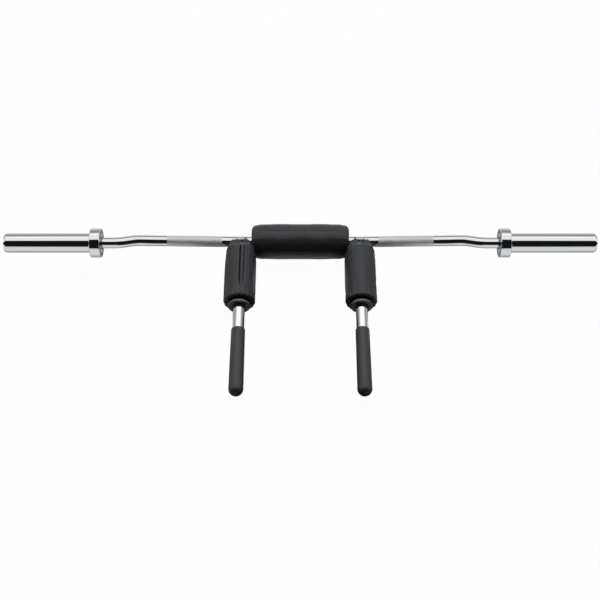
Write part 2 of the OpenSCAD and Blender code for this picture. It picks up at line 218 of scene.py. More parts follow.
def shade(mesh, sharp_over):
    """Smooth shading, with edges sharper than an angle kept crisp."""
    bm = bmesh.new()
    bm.from_mesh(mesh)
    for face in bm.faces:
        face.smooth = True
    for edge in bm.edges:
        edge.smooth = len(edge.link_faces) == 2 and edge.calc_face_angle(0) < sharp_over
    bm.to_mesh(mesh)
    bm.free()


def finish_mesh(bm, name, place=None, sharp_over=math.radians(35)):
    """Makes an object of a bmesh, put in place by its vertices, with its faces outwards."""
    bmesh.ops.remove_doubles(bm, verts=bm.verts, dist=1e-7)
    if place is not None:
        bm.transform(place)
    bmesh.ops.recalc_face_normals(bm, faces=bm.faces)
    mesh = bpy.data.meshes.new(name)
    bm.to_mesh(mesh)
    bm.free()
    shade(mesh, sharp_over)
    piece = bpy.data.objects.new(name, mesh)
    bpy.context.scene.collection.objects.link(piece)
    return piece


def outline_edges(bm, points):
    """Vertices and edges of a closed outline of (radius, along) points."""
    verts = [bm.verts.new((radius, 0, along)) for radius, along in points]
    edges = [bm.edges.new((verts[i - 1], verts[i])) for i in range(len(verts))]
    return verts + edges


def turned(name, points, place, steps=96, bevel=0.0):
    """A solid turned about Z from a closed outline, its corners rounded by a bevel."""
    bm = bmesh.new()
    bmesh.ops.spin(
        bm, geom=outline_edges(bm, points), cent=(0, 0, 0), axis=Z_AXIS, dvec=(0, 0, 0),
        angle=math.tau, steps=steps, use_merge=True)
    bmesh.ops.remove_doubles(bm, verts=bm.verts, dist=1e-7)
    bmesh.ops.dissolve_degenerate(bm, edges=bm.edges, dist=1e-8)
    bmesh.ops.recalc_face_normals(bm, faces=bm.faces)
    if bevel:
        corners = [e for e in bm.edges if e.calc_face_angle(0) > math.radians(20)]
        bmesh.ops.bevel(
            bm, geom=corners, offset=bevel, offset_type="OFFSET", affect="EDGES",
            segments=3, profile=0.5, material=-1, clamp_overlap=True)
    return finish_mesh(bm, name, place)


def give(piece, material, body, slot, *nodes):
    """Gives a piece its material and body, and hides the nodes that it stands for; the slot is not
    used.
    """
    if material is not None:
        piece.data.materials.clear()
        piece.data.materials.append(material)
    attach(piece, body)
    if nodes:
        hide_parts(*nodes)
    return piece


def applied(piece):
    """Replaces a piece's mesh by what its modifiers make of it."""
    graph = bpy.context.evaluated_depsgraph_get()
    mesh = bpy.data.meshes.new_from_object(piece.evaluated_get(graph), depsgraph=graph)
    piece.modifiers.clear()
    piece.data = mesh
    return piece


# Material helpers

MIX_DARK, MIX_LIGHT = 6, 7  # a Mix node's colour inputs, whose names its other inputs share
MIX_COLOUR = 2  # its colour output
METAL = {"Metallic": 1.0}


def add_node(tree, kind, settings=None, links=None):
    """Adds a node; an input, by its name or place, takes a node, one of its sockets or a value."""
    node = tree.nodes.new(kind)
    for name, value in (settings or {}).items():
        setattr(node, name, value)
    for name, value in (links or {}).items():
        if isinstance(value, bpy.types.Node):
            value = value.outputs[0]
        if isinstance(value, bpy.types.NodeSocket):
            tree.links.new(value, node.inputs[name])
        else:
            node.inputs[name].default_value = value
    return node


def faded(tree, steps):
    """The product of steps, each a value, the two places it fades between and its two levels."""
    product = None
    for value, start, end, low, high in steps:
        level = add_node(tree, "ShaderNodeMapRange", links={
            "Value": value, "From Min": start, "From Max": end, "To Min": low, "To Max": high})
        product = level if product is None else add_node(
            tree, "ShaderNodeMath", {"operation": "MULTIPLY"}, {0: product, 1: level})
    return product


def shaded(colour, share):
    """A colour, darkened or lightened by a share."""
    return tuple(min(1.0, c * share) for c in colour)


class Finish:
    """A material on the object's own coordinates, with a noise for each of its grains."""

    def __init__(self, name, *grains):
        """A grain is the size of its features in millimetres, its detail and its roughness."""
        self.material = bpy.data.materials.new(name)
        self.material.use_nodes = True
        self.tree = self.material.node_tree
        self.tree.nodes.clear()
        self.place = add_node(self.tree, "ShaderNodeTexCoord").outputs["Object"]
        self.noises = [
            add_node(self.tree, "ShaderNodeTexNoise", links={
                "Vector": self.place, "Scale": 1 / (size * MM), "Detail": detail,
                "Roughness": roughness})
            for size, detail, roughness in grains]

    def surface(self, tint, roughness, reliefs=(), more=None):
        """Ends the material in a Principled shader.

        The tint is a pattern and its two colours, the roughness a number, or a pattern and its two
        levels, and each relief a pattern and its depth in millimetres. More sets other inputs.
        """
        pattern, dark, light = tint
        colour = add_node(self.tree, "ShaderNodeMix", {"data_type": "RGBA"}, {
            "Factor": pattern, MIX_DARK: (*dark, 1), MIX_LIGHT: (*light, 1)}).outputs[MIX_COLOUR]
        if isinstance(roughness, tuple):
            pattern, low, high = roughness
            roughness = faded(self.tree, [(pattern, 0.3, 0.7, low, high)])
        links = {"Base Color": colour, "Roughness": roughness, **(more or {})}
        for pattern, depth in reliefs:
            bump = {"Height": pattern, "Distance": depth * MM, "Strength": 1.0}
            if "Normal" in links:
                bump["Normal"] = links["Normal"]
            links["Normal"] = add_node(self.tree, "ShaderNodeBump", links=bump)
        return self.end(add_node(self.tree, "ShaderNodeBsdfPrincipled", links=links))

    def end(self, shader):
        """Ends the material in a shader."""
        add_node(self.tree, "ShaderNodeOutputMaterial", links={"Surface": shader})
        return self.material


# Materials

def polished_chrome(name, roughness):
    """Hard chrome on ground steel: a mirror with faint polishing haze and handling marks."""
    finish = Finish(name, (40, 4, 0.6), (1.5, 3, 0.5))
    haze, marks = finish.noises
    return finish.surface(
        (haze, shaded(colours().chrome, 0.94), colours().chrome),
        (haze, roughness * 0.7, roughness * 1.4), [(marks, 0.0008)], METAL)


def turned_chrome(name, roughness, pitch):
    """Chrome over a turned face: fine rings left by the tool show through the plating."""
    finish = Finish(name, (12, 3, 0.5))
    haze, = finish.noises
    tree = finish.tree
    centred = add_node(tree, "ShaderNodeVectorMath", {"operation": "SUBTRACT"}, {
        0: finish.place, 1: (0, SLEEVE_AXIS.y, SLEEVE_AXIS.z)})
    across = add_node(
        tree, "ShaderNodeVectorMath", {"operation": "MULTIPLY"}, {0: centred, 1: (0, 1, 1)})
    radius = add_node(
        tree, "ShaderNodeVectorMath", {"operation": "LENGTH"}, {0: across}).outputs["Value"]
    ring = add_node(tree, "ShaderNodeMath", {"operation": "PINGPONG"}, {0: radius, 1: pitch})
    height = add_node(tree, "ShaderNodeMath", {"operation": "DIVIDE"}, {0: ring, 1: pitch})
    return finish.surface(
        (haze, shaded(colours().chrome, 0.9), colours().chrome),
        (haze, roughness * 0.8, roughness * 1.2), [(height, 0.02)], METAL)


def knurled_chrome():
    """Chrome over rolled knurling: the plating dulls in the cuts, so it scatters light."""
    finish = Finish("knurled_chrome_plate", (9, 4, 0.6))
    wear, = finish.noises
    return finish.surface(
        (wear, colours().chrome, shaded(colours().chrome, 1.1)), (wear, 0.48, 0.57), more=METAL)


def satin_face(name):
    """A faced and lightly plated end: dull grey between the bright turned corners."""
    finish = Finish(name, (2, 4, 0.7), (14, 3, 0.5))
    scratch, broad = finish.noises
    return finish.surface(
        (broad, linear(0x6E7074), linear(0x9A9CA0)), (scratch, 0.22, 0.38),
        [(scratch, 0.015)], METAL)


def calendered_vinyl():
    """PVC leathercloth, embossed by a grained roller: black, low sheen, a pebble of about 1 mm."""
    finish = Finish("calendered_vinyl_leathercloth", (26, 3, 0.55), (0.5, 2, 0.5))
    stretch, fine = finish.noises
    pebble = add_node(finish.tree, "ShaderNodeTexVoronoi", {"feature": "SMOOTH_F1"}, {
        "Vector": finish.place, "Scale": 1 / (1.1 * MM), "Smoothness": 0.6})
    base = colours().vinyl
    return finish.surface(
        (stretch, shaded(base, 0.8), shaded(base, 1.2)), (fine, 0.42, 0.52),
        [(stretch, 0.35), (pebble, -0.05)], {"IOR": 1.52})


def moulded_rubber(name, colour, grit, roughness):
    """Moulded rubber or PVC: matt, with the fine spark-eroded texture of its mould."""
    finish = Finish(name, (grit, 2, 0.6), (30, 3, 0.5))
    texture, bloom = finish.noises
    return finish.surface(
        (bloom, shaded(colour, 0.88), shaded(colour, 1.12)),
        (bloom, roughness * 0.93, roughness * 1.07), [(texture, 0.04)], {"IOR": 1.5})


def sintered_bronze():
    """Oil-filled sintered bronze of the bushes: brown-gold, dull, with open pores."""
    finish = Finish("sintered_bronze", (0.6, 3, 0.5))
    pores, = finish.noises
    return finish.surface(
        (pores, linear(0x7C5A33), linear(0xB98C55)), (pores, 0.35, 0.5), [(pores, 0.01)], METAL)


def spring_steel():
    """Oil-blacked spring steel of the snap rings and washers: dark, with a satin shine."""
    finish = Finish("blackened_spring_steel", (3, 4, 0.5))
    scale, = finish.noises
    return finish.surface(
        (scale, linear(0x3B3C3F), linear(0x6A6B6F)), (scale, 0.3, 0.45), more=METAL)


def plated_weld():
    """Chrome over a weld bead: the ripples of the run still show under the plating."""
    finish = Finish("chromed_weld_bead", (2.4, 1, 0.5))
    ripple, = finish.noises
    return finish.surface(
        (ripple, linear(0x9A9CA0), linear(0xD5D7DA)), (ripple, 0.18, 0.35), [(ripple, 0.35)], METAL)


def closed_cell_foam():
    """Cut polyethylene foam: grey, dull, with small closed cells in its skin."""
    finish = Finish("closed_cell_foam")
    cells = add_node(finish.tree, "ShaderNodeTexVoronoi", links={
        "Vector": finish.place, "Scale": 1 / (0.9 * MM)})
    return finish.surface((cells, linear(0x2E2E31), linear(0x55555A)), 0.9, [(cells, 0.15)])


def woven_tape():
    """Hook and loop tape: black nylon pile that takes almost no shine."""
    finish = Finish("hook_and_loop_nylon", (0.7, 3, 0.7))
    pile, = finish.noises
    return finish.surface(
        (pile, linear(0x09090A), linear(0x151517)), 0.95, [(pile, 0.3)],
        {"Specular IOR Level": 0.2})


def bonded_thread():
    """Bonded nylon thread: black with a slight wax shine, twisted at about half a millimetre."""
    finish = Finish("bonded_nylon_thread", (0.5, 1, 0.5))
    twist, = finish.noises
    return finish.surface((twist, linear(0x141416), linear(0x2A2A2D)), 0.5, [(twist, 0.08)])


# Chrome parts

def ring_at(bm, place, radius, steps):
    """A circle of edges across the Z of a place."""
    made = bmesh.ops.create_circle(
        bm, cap_ends=False, segments=steps, radius=radius, matrix=place)
    return list({edge for vert in made["verts"] for edge in vert.link_edges})


def pull(bm, edges, offset, share=1.0, centre=None):
    """Extrudes a ring of edges by an offset, then scales it about a centre; gives the new ring."""
    made = bmesh.ops.extrude_edge_only(bm, edges=edges)["geom"]
    verts = [g for g in made if isinstance(g, bmesh.types.BMVert)]
    bmesh.ops.translate(bm, verts=verts, vec=offset)
    if share != 1.0:
        bmesh.ops.scale(
            bm, verts=verts, vec=(share, share, share), space=Matrix.Translation(-centre))
    return [g for g in made if isinstance(g, bmesh.types.BMEdge) and all(
        v in verts for v in g.verts)]


def bend(bm, edges, corner, start, end, radius, steps=14):
    """Sweeps a ring of edges round a bend about a corner, from one direction to another."""
    turn = start.angle(end)
    inward = (end - start * start.dot(end)).normalized()
    back = radius * math.tan(turn / 2)
    made = bmesh.ops.spin(
        bm, geom=edges, cent=corner - start * back + inward * radius,
        axis=start.cross(inward), dvec=(0, 0, 0), angle=turn, steps=steps)
    return [g for g in made["geom_last"] if isinstance(g, bmesh.types.BMEdge)]


def setback(start, end, radius):
    """Length that a bend takes from each straight run beside it."""
    return radius * math.tan(start.angle(end) / 2)


def knurl(bm, band, height):
    """Turns a band of square faces into rows of small pyramids, as a knurling wheel rolls them."""
    for face in band:
        face.material_index = 1
    inner = {e for f in band for e in f.edges if all(l in band for l in e.link_faces)}
    bmesh.ops.poke(bm, faces=list(band), offset=0.0)
    bmesh.ops.dissolve_edges(bm, edges=list(inner), use_verts=False)
    diamonds = [f for f in bm.faces if f.material_index == 1 and len(f.verts) == 4]
    bmesh.ops.poke(bm, faces=diamonds, offset=height)


class SQUATBAR_OT_shaft(bpy.types.Operator):
    """Bends the one-piece shaft with its two cranks, knurled bands and turned journals"""

    bl_idname = "squatbar.shaft"
    bl_label = "Shaft"

    def execute(self, context):
        size = sizes()
        steps = 80
        knurl_rows = 100
        knurl_depth = 0.135 * MM
        yoke_bend_r, crank_bend_r = mm(150, 90)
        knurl_edge = 0.6 * MM
        low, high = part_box("right_snap_ring")
        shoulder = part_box("right_inner_bush")[0].x - 0.2 * MM
        journal_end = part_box("shaft")[1].x

        yoke = Vector((size.yoke_bend, YOKE_Y, size.yoke_z))
        arm_run = mm(-20.5, 30.1)
        crank_in = Vector((size.crank_in, yoke.y + arm_run[0], yoke.z + arm_run[1]))
        crank_out = Vector((size.crank_out, SLEEVE_AXIS.y, SLEEVE_AXIS.z))
        arm = (crank_in - yoke).normalized()
        crank = (crank_out - crank_in).normalized()

        bm = bmesh.new()
        start = Vector((0, yoke.y, yoke.z))
        ring = ring_at(
            bm, Matrix.Translation(start) @ Matrix.Rotation(math.pi / 2, 4, "Y"),
            size.shaft_r, steps)
        ring = pull(bm, ring, yoke - start - X_AXIS * setback(X_AXIS, arm, yoke_bend_r))
        ring = bend(bm, ring, yoke, X_AXIS, arm, yoke_bend_r)

        here = yoke + arm * setback(X_AXIS, arm, yoke_bend_r)
        band_from = here + arm * (size.knurl_from - here.x) / arm.x
        band_to = here + arm * (size.knurl_to - here.x) / arm.x
        ring = pull(bm, ring, band_from - here)
        root = (size.shaft_r - knurl_depth) / size.shaft_r
        ring = pull(bm, ring, arm * knurl_edge, root, band_from + arm * knurl_edge)
        row = (band_to - band_from - 2 * arm * knurl_edge) / knurl_rows
        before = set(bm.faces)
        for _ in range(knurl_rows):
            ring = pull(bm, ring, row)
        band = set(bm.faces) - before
        ring = pull(bm, ring, arm * knurl_edge, 1 / root, band_to)

        ring = pull(
            bm, ring, crank_in - arm * setback(arm, crank, crank_bend_r) - band_to)
        ring = bend(bm, ring, crank_in, arm, crank, crank_bend_r)
        here = crank_in + crank * setback(arm, crank, crank_bend_r)
        ring = pull(
            bm, ring, crank_out - crank * setback(crank, X_AXIS, crank_bend_r) - here)
        ring = bend(bm, ring, crank_out, crank, X_AXIS, crank_bend_r)

        here = crank_out + X_AXIS * setback(crank, X_AXIS, crank_bend_r)
        groove_r, gap, chamfer = mm(11.5, 0.1, 1.5)
        turned_end = [
            (shoulder, size.shaft_r), (shoulder, size.journal_r),
            (low.x - gap, size.journal_r), (low.x - gap, groove_r),
            (high.x + gap, groove_r), (high.x + gap, size.journal_r),
            (journal_end - chamfer, size.journal_r), (journal_end, size.journal_r - chamfer)]
        radius = size.shaft_r
        for x, next_radius in turned_end:
            centre = Vector((x, SLEEVE_AXIS.y, SLEEVE_AXIS.z))
            ring = pull(bm, ring, X_AXIS * (x - here.x), next_radius / radius, centre)
            radius, here = next_radius, centre
        bmesh.ops.contextual_create(bm, geom=ring)

        bmesh.ops.recalc_face_normals(bm, faces=bm.faces)
        knurl(bm, band, knurl_depth)
        half = bmesh.ops.duplicate(bm, geom=bm.verts[:] + bm.edges[:] + bm.faces[:])["geom"]
        bmesh.ops.scale(
            bm, vec=(-1, 1, 1), verts=[g for g in half if isinstance(g, bmesh.types.BMVert)])
        piece = finish_mesh(bm, "shaft_bar", sharp_over=math.radians(28))
        for finish in (polished_chrome("hard_chrome_bar", 0.06), knurled_chrome()):
            piece.data.materials.append(finish)
        give(piece, None, "frame", "chrome_bar", "shaft")
        return {"FINISHED"}


class SQUATBAR_OT_handles(bpy.types.Operator):
    """Cuts the two handle tubes to sit on the shaft and chromes their welds"""

    bl_idname = "squatbar.handles"
    bl_label = "Handle tubes"

    def execute(self, context):
        size = sizes()
        wall, start, end, edge = mm(2.5, 1, 455, 0.4)
        chrome = polished_chrome("hard_chrome_tube", 0.08)
        weld = plated_weld()
        outline = [
            (size.handle_r - wall, start), (size.handle_r, start),
            (size.handle_r, end - edge), (size.handle_r - edge, end),
            (size.handle_r - wall, end)]
        for name, side in SIDES.items():
            place = on_handle(side)
            piece = turned(f"{name}_handle", outline, place)
            cutter = turned("shaft_cutter", [
                (0, -2 * size.sleeve_r), (size.shaft_r, -2 * size.sleeve_r),
                (size.shaft_r, 2 * size.sleeve_r), (0, 2 * size.sleeve_r)],
                place @ Matrix.Rotation(math.pi / 2, 4, "Y"))
            notch = piece.modifiers.new("notch", "BOOLEAN")
            notch.object = cutter
            notch.operation = "DIFFERENCE"
            notch.solver = "EXACT"
            applied(piece)
            bpy.data.objects.remove(cutter)
            shade(piece.data, math.radians(35))
            give(piece, chrome, "frame", "chrome_bar", f"{name}_handle_tube")
            bead = frame["nodes"][f"{name}_weld_bead"]
            bead.data.materials.clear()
            bead.data.materials.append(weld)
        return {"FINISHED"}


class SQUATBAR_OT_sleeves(bpy.types.Operator):
    """Turns the sleeves, collars and end caps, and finishes the bushes that they run on"""

    bl_idname = "squatbar.sleeves"
    bl_label = "Sleeves"

    def execute(self, context):
        size = sizes()
        chrome = polished_chrome("hard_chrome_sleeve", 0.06)
        face = turned_chrome("turned_chrome_collar", 0.16, 0.35 * MM)
        bronze, steel = sintered_bronze(), spring_steel()
        satin = satin_face("faced_collar_plate")
        seat_r, seat_from, relief_r, cap_r, cap_t = mm(15, 35, 13.5, 19, 1.5)
        bevel, bevel_r, edge = mm(5, 22.5, 1.6)
        step = 1 * MM
        for name, side in SIDES.items():
            place = on_sleeve(side)
            low, high = (abs(v.x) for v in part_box(f"{name}_collar"))
            inner, outer = min(low, high), max(low, high)
            end = max(abs(v.x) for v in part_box(f"{name}_sleeve"))
            bush = sorted(abs(v.x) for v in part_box(f"{name}_outer_bush"))
            cap = sorted(abs(v.x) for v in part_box(f"{name}_end_cap"))
            sleeve = turned(f"{name}_sleeve_tube", [
                (seat_r, inner), (size.sleeve_r - step, inner), (size.sleeve_r - step, outer),
                (size.sleeve_r, outer), (size.sleeve_r, end - bevel), (bevel_r, end),
                (cap_r, end), (cap_r, bush[1]), (seat_r, bush[1]), (seat_r, bush[0]),
                (relief_r, bush[0]), (relief_r, inner + seat_from), (seat_r, inner + seat_from)],
                place, 128, 0.35 * MM)
            give(sleeve, chrome, f"{name}_sleeve", "chrome_sleeve", f"{name}_sleeve")
            collar = turned(f"{name}_collar_ring", [
                (size.sleeve_r - step, inner), (size.collar_r - edge, inner),
                (size.collar_r, inner + edge), (size.collar_r, outer - edge),
                (size.collar_r - edge, outer), (size.sleeve_r - step, outer)],
                place, 128, 0.4 * MM)
            give(collar, chrome, f"{name}_sleeve", "chrome_sleeve", f"{name}_collar")
            collar.data.materials.append(satin)
            for polygon in collar.data.polygons:
                if polygon.normal.x * side < -0.9:
                    polygon.material_index = 1
            plug = turned(f"{name}_sleeve_cap", [
                (cap_r - cap_t, cap[0]), (cap_r, cap[0]), (cap_r, cap[1] - step),
                (cap_r - step, cap[1]), (0, cap[1]), (0, cap[1] - 2 * cap_t),
                (cap_r - cap_t, cap[1] - 2 * cap_t)], place, 128, 0.25 * MM)
            give(plug, face, f"{name}_sleeve", "chrome_sleeve", f"{name}_end_cap")
            for node, metal in (
                    ("inner_bush", satin), ("outer_bush", bronze),
                    ("thrust_washer", steel), ("snap_ring", steel)):
                carried = frame["nodes"][f"{name}_{node}"]
                carried.data.materials.clear()
                carried.data.materials.append(metal)
        return {"FINISHED"}


class SQUATBAR_OT_grips(bpy.types.Operator):
    """Turns the closed rubber grips and the dished rings that hold the side pads up"""

    bl_idname = "squatbar.grips"
    bl_label = "Grips and stop rings"

    def execute(self, context):
        size = sizes()
        start, end, open_r, closed_r, hollow = mm(276, 465, 17.35, 18.1, 456)
        lip, top, ring_r, root_r = mm(1.4, 209, 28, 23)
        step, rim, recess_r, dish = mm(6.5, 1.5, 18, 6)
        base = pads().side_to
        rubber = moulded_rubber("moulded_grip_rubber", colours().grip, 0.9, 0.42)
        ring_rubber = moulded_rubber("moulded_ring_rubber", colours().ring, 0.7, 0.5)
        dome_steps = 20
        dome = [
            (closed_r * math.cos(a), end - closed_r + closed_r * math.sin(a))
            for a in (math.pi / 2 * i / dome_steps for i in range(dome_steps + 1))]
        dome[-1] = (0.0, end)
        for name, side in SIDES.items():
            place = on_handle(side)
            grip = turned(f"{name}_rubber_grip", [
                (size.handle_r, start), (open_r - lip, start), (open_r, start + lip), *dome,
                (0, hollow), (size.handle_r, hollow)], place, 96, 0.5 * MM)
            give(grip, rubber, "frame", "grip_rubber", f"{name}_grip")
            ring = turned(f"{name}_stop_ring", [
                (size.handle_r, base), (root_r, base), (ring_r, base + step),
                (ring_r, top - rim), (ring_r - rim, top), (recess_r + rim, top - rim),
                (recess_r, top - dish), (size.handle_r, top - dish)],
                place, 96, 0.8 * MM)
            give(ring, ring_rubber, "frame", "ring_rubber", f"{name}_pad_stop_ring")
        return {"FINISHED"}


# Padding

def smoothed(points, rounds=3):
    """An open outline with its corners cut, round after round."""
    for _ in range(rounds):
        cut = [points[0]]
        for a, b in zip(points, points[1:]):
            cut += [a.lerp(b, 0.25), a.lerp(b, 0.75)]
        points = cut + [points[-1]]
    return points


def spaced(points, count):
    """Points at equal distances along an outline."""
    lengths = [(b - a).length for a, b in zip(points, points[1:])]
    total, out, i, gone = sum(lengths), [], 0, 0.0
    for k in range(count + 1):
        target = total * k / count
        while i < len(lengths) - 1 and gone + lengths[i] < target:
            gone += lengths[i]
            i += 1
        out.append(points[i].lerp(points[i + 1], (target - gone) / lengths[i]))
    return out


def ramp(value, start, end):
    """0 before start, 1 after end and a smooth rise between."""
    t = min(1.0, max(0.0, (value - start) / (end - start)))
    return t * t * (3 - 2 * t)


def bell(distance, width):
    """A soft bump: 1 in the middle, fading out over a width."""
    return math.exp(-((distance / width) ** 2))


class Cover:
    """A vinyl sheet wrapped once round a pad, its closing flap overlapping, its ends drawn in."""

    def __init__(self, outline, rows, radius, place, seed, drawn, seam, turned_by=0.0, ear=0.0):
        self.line = spaced(smoothed([Vector(p) for p in outline]), rows)
        self.rows = rows
        self.radius = radius
        self.place = place
        self.drawn = drawn
        self.seam = seam
        self.turned_by = turned_by
        self.ear = ear
        self.settled = None
        self.lap = pads().flap / radius
        self.first, self.last = self.line[0].y, self.line[-1].y
        chance = random.Random(seed)
        self.waves = [
            (n, chance.uniform(0, math.tau), chance.uniform(0.5, 1.0)) for n in (17, 29)]
        self.folds = [(
            chance.uniform(0, math.tau), chance.uniform(0.6, 1.6) * MM,
            chance.uniform(0.25, 0.9) * MM, chance.uniform(0.1, 0.9),
            chance.uniform(0.12, 0.4), chance.uniform(-0.12, 0.12)) for _ in range(16)]

    def normal(self, row):
        """Outward direction of the outline at a row, as (radius, along)."""
        a, b = self.line[max(row - 1, 0)], self.line[min(row + 1, self.rows)]
        along = (b - a).normalized()
        return Vector((along.y, -along.x))

    def pleats(self, turn):
        """Height of the gathers round the sheet: narrow valleys between round ridges, 0 to 1."""
        height = sum(w * abs(math.sin(n * turn / 2 + p)) for n, p, w in self.waves)
        return height / sum(w for _, _, w in self.waves)

    def span(self, share):
        """How far the closing gap stands open: 1 over its length, down to 0 at its ends."""
        _, _, start, end = self.seam
        return ramp(share, start, start + 0.08) * (1 - ramp(share, end - 0.15, end))

    def closing(self, reach, share):
        """The closing edge: a gap beside the raised flap, and the crease that the flap draws."""
        depth, ridge, _, _ = self.seam
        span = self.span(share)
        before = reach - self.radius * math.tau
        width = max(0.5 * MM, 4.5 * MM * span)
        gap = ramp(before, -width, -0.6 * width) if before < 0 else 0.0
        rise = -depth * span * gap
        rise += ridge * span * bell(max(0.0, reach - 0.5 * MM), (5.5 - 3.5 * share) * MM)
        rise -= 0.3 * depth * span * bell(reach - (8.6 - 2.2 * share) * MM, 1.3 * MM)
        return rise

    def under_closing(self, point):
        """Presses a point of the foam in under the closing gap, so that it stays hidden."""
        spot = self.place.inverted() @ point
        radius = spot.xy.length
        reach = math.atan2(spot.x, spot.y) * self.radius
        share = (spot.z - self.first) / (self.last - self.first)
        depth, _, start, end = self.seam
        span = ramp(share, start - 0.05, start) * (1 - ramp(share, end, end + 0.05))
        if radius < 0.6 * self.radius:
            return point
        spot.xy *= 1 - (depth + 0.8 * MM) * span * bell(reach + 2 * MM, 6 * MM) / radius
        return self.place @ spot

    def squared(self, turn, share):
        """How much the flattened top end bulges at its corners, where it lies over the shaft."""
        if not self.turned_by:
            return 1.0
        across, up = abs(math.sin(turn + self.turned_by)), abs(math.cos(turn + self.turned_by))
        corner = (across ** 7 + (up / 0.94) ** 7) ** (-1 / 7)
        from_ear = (turn + self.turned_by - self.ear + math.pi) % math.tau - math.pi
        tip = 0.12 * bell(from_ear, 0.2) * (1 - ramp(share, 0.0, 0.04))
        return 1 + (corner - 1) * (1 - ramp(share, 0.02, 0.18)) + tip

    def creases(self, turn, share):
        """Soft dents in the sheet, each over a part of its length."""
        rise = 0.0
        for middle, width, depth, at, reach, lean in self.folds:
            away = (turn - middle - lean * (share - at) + math.pi) % math.tau - math.pi
            rise -= depth * bell(away * self.radius, width) * bell(share - at, reach)
        return rise

    def point(self, turn, row):
        """Place of the sheet at a turn from its free edge and at a row of its outline."""
        spot = self.line[row]
        share = (spot.y - self.first) / (self.last - self.first)
        reach = self.radius * turn
        over = 1.0 - ramp(reach, self.lap * self.radius, self.lap * self.radius + 28 * MM)
        full = ramp(spot.x, 0.55 * self.radius, 0.98 * self.radius)
        near_end = math.exp(-min(share, 1 - share) * (self.last - self.first) / (11 * MM))
        lap_seen = ramp(min(share, 1 - share), 0.0, 0.1)
        rise = over * (0.25 + 0.75 * lap_seen) * pads().sheet
        rise *= 0.4 + 0.6 * ramp(reach, 0.0, 3.5 * MM)
        rise += self.drawn * (max(1 - full, 0.45 * near_end) + 0.1) * (self.pleats(turn) - 0.7)
        rise += self.closing(reach, share) + full * self.creases(turn, share)
        if self.settled:
            rise += full * self.settled(turn, spot.y)
        out = self.normal(row)
        radius = (spot.x + out.x * rise) * self.squared(turn, share)
        along = spot.y + out.y * rise
        return Vector((radius * math.sin(turn), radius * math.cos(turn), along))

    def build(self, columns):
        """The sheet as a bmesh grid, rolled up and put in place, finer near its free edge."""
        whole = math.tau + self.lap
        bm = bmesh.new()
        bmesh.ops.create_grid(bm, x_segments=columns, y_segments=self.rows, size=0.5)
        for vert in bm.verts:
            share = vert.co.x + 0.5
            turn = whole * (share - 0.62 * math.sin(math.tau * share) / math.tau)
            vert.co = self.place @ self.point(turn, round((vert.co.y + 0.5) * self.rows))
        return bm

    def settle(self, name, cap):
        """Blows the cover up as cloth that its drawn-in ends hold, for its slack and wrinkles."""
        grid, frames, slack, reach = 5 * MM, 20, 0.03, 0.12
        skin = [(max(p.x - 1.5 * MM, 1 * MM), p.y) for p in self.line[::4]]
        body = turned(
            f"{name}_cloth", [(0.0, skin[0][1]), *skin, (0.0, skin[-1][1])], Matrix(), 72)
        coarse = body.modifiers.new("coarse", "REMESH")
        coarse.mode = "VOXEL"
        coarse.voxel_size = grid
        applied(body)
        start = [vert.co.copy() for vert in body.data.vertices]
        held = body.vertex_groups.new(name="held")
        for vert in body.data.vertices:
            share = (vert.co.z - self.first) / (self.last - self.first)
            at_seam = abs(math.atan2(vert.co.x, vert.co.y)) * self.radius < 0.8 * grid
            end = 1 - ramp(min(share, 1 - share), 0.02, reach)
            held.add([vert.index], max(end, 0.7 if at_seam else 0.0), "REPLACE")
        cloth = body.modifiers.new("cloth", "CLOTH")
        fabric = cloth.settings
        fabric.quality = 6
        fabric.mass = 0.4
        fabric.tension_stiffness = fabric.compression_stiffness = 14
        fabric.shear_stiffness = 6
        fabric.bending_stiffness = 0.35
        fabric.use_pressure = True
        fabric.uniform_pressure_force = 4
        fabric.shrink_min = -slack
        fabric.vertex_group_mass = "held"
        fabric.effector_weights.gravity = 0
        cloth.point_cache.frame_start, cloth.point_cache.frame_end = 1, frames
        scene = bpy.context.scene
        for number in range(1, frames + 1):
            scene.frame_set(number)
            bpy.context.view_layer.update()
        applied(body)
        scene.frame_set(1)
        moves = [
            (vert.co.xy.length - was.xy.length) for vert, was in zip(body.data.vertices, start)]
        middle = sorted(moves)[len(moves) // 2]
        tree = KDTree(len(start))
        for index, was in enumerate(start):
            tree.insert(was, index)
        tree.balance()
        data = body.data
        bpy.data.objects.remove(body)
        bpy.data.meshes.remove(data)

        def shift(turn, along):
            at = Vector((self.radius * math.sin(turn), self.radius * math.cos(turn), along))
            near = tree.find_n(at, 10)
            weights = [bell(distance, grid) for _, _, distance in near]
            moved = sum(
                weight * (moves[index] - middle) for weight, (_, index, _) in zip(weights, near))
            return cap * math.tanh(0.35 * moved / sum(weights) / cap)

        self.settled = shift


def pressed(bm, push):
    """Moves every vertex as a function says."""
    for vert in bm.verts:
        vert.co = push(vert.co)


def off_floor(point):
    """Keeps a point on or above the floor."""
    return Vector((point.x, point.y, max(point.z, 0.0)))


def off_centre_pad(point):
    """Keeps a point outside the middle pad, which presses a hollow in its neighbour."""
    corner, gap = mm(16, 1.6)
    across = Vector((0, point.y - YOKE_Y, point.z - sizes().yoke_z))
    out = across.length - (pads().centre_r - corner)
    along = abs(point.x) - (pads().centre_half - corner)
    if out <= 0 and along <= 0:
        away, push = max(out, along) - corner, Vector((0, 1)) if along > out else Vector((1, 0))
    else:
        reach = Vector((max(out, 0), max(along, 0)))
        away, push = reach.length - corner, reach.normalized()
    if away >= gap:
        return point
    move = (gap - away) * push
    return point + across.normalized() * move.x + X_AXIS * math.copysign(move.y, point.x)


